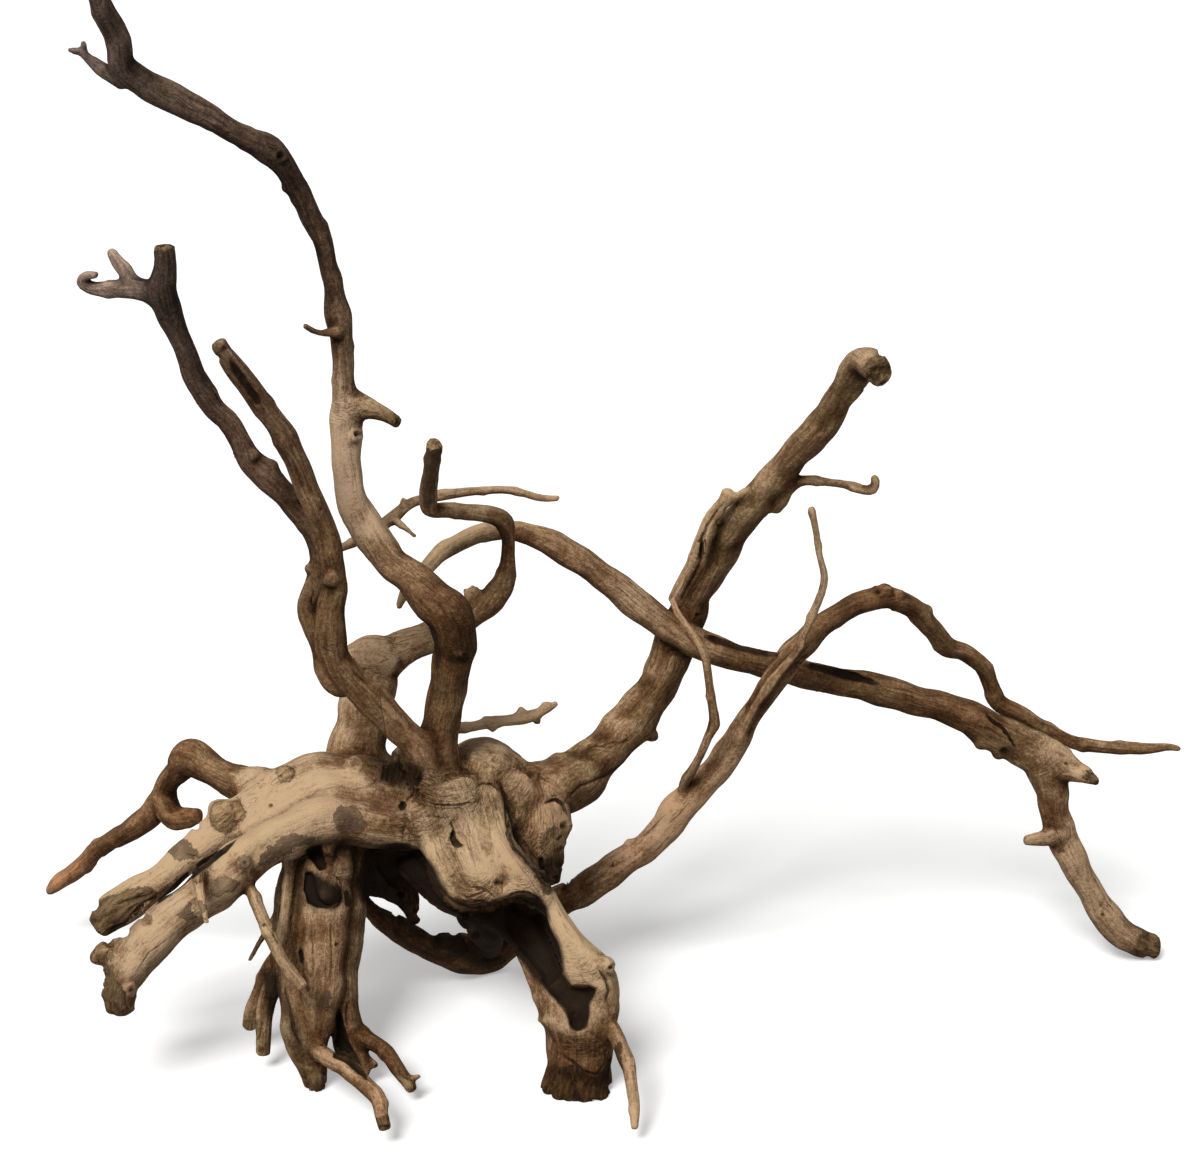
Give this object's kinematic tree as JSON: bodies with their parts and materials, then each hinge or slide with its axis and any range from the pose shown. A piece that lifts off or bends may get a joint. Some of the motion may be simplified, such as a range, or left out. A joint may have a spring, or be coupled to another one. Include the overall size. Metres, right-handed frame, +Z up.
{
  "type": "spiderwood root",
  "caption": "Branching driftwood root for an aquarium or terrarium, with a gnarled crown, arched legs and long tapering arms.",
  "frame": {"origin": "middle of the bounding box on the surface that the root stands on", "axes": "+Z up, +X along the widest spread, from the broken slab towards the long root's end, +Y away from the side that the two front legs are on"},
  "size_m": [0.604, 0.2224, 0.5241],
  "materials": {
    "wood": "dry, sandblasted bare wood, matt, with fine lengthwise grain"
  },
  "bodies": {
    "root": {"spiderwood_root": "wood"}
  },
  "joints": []
}
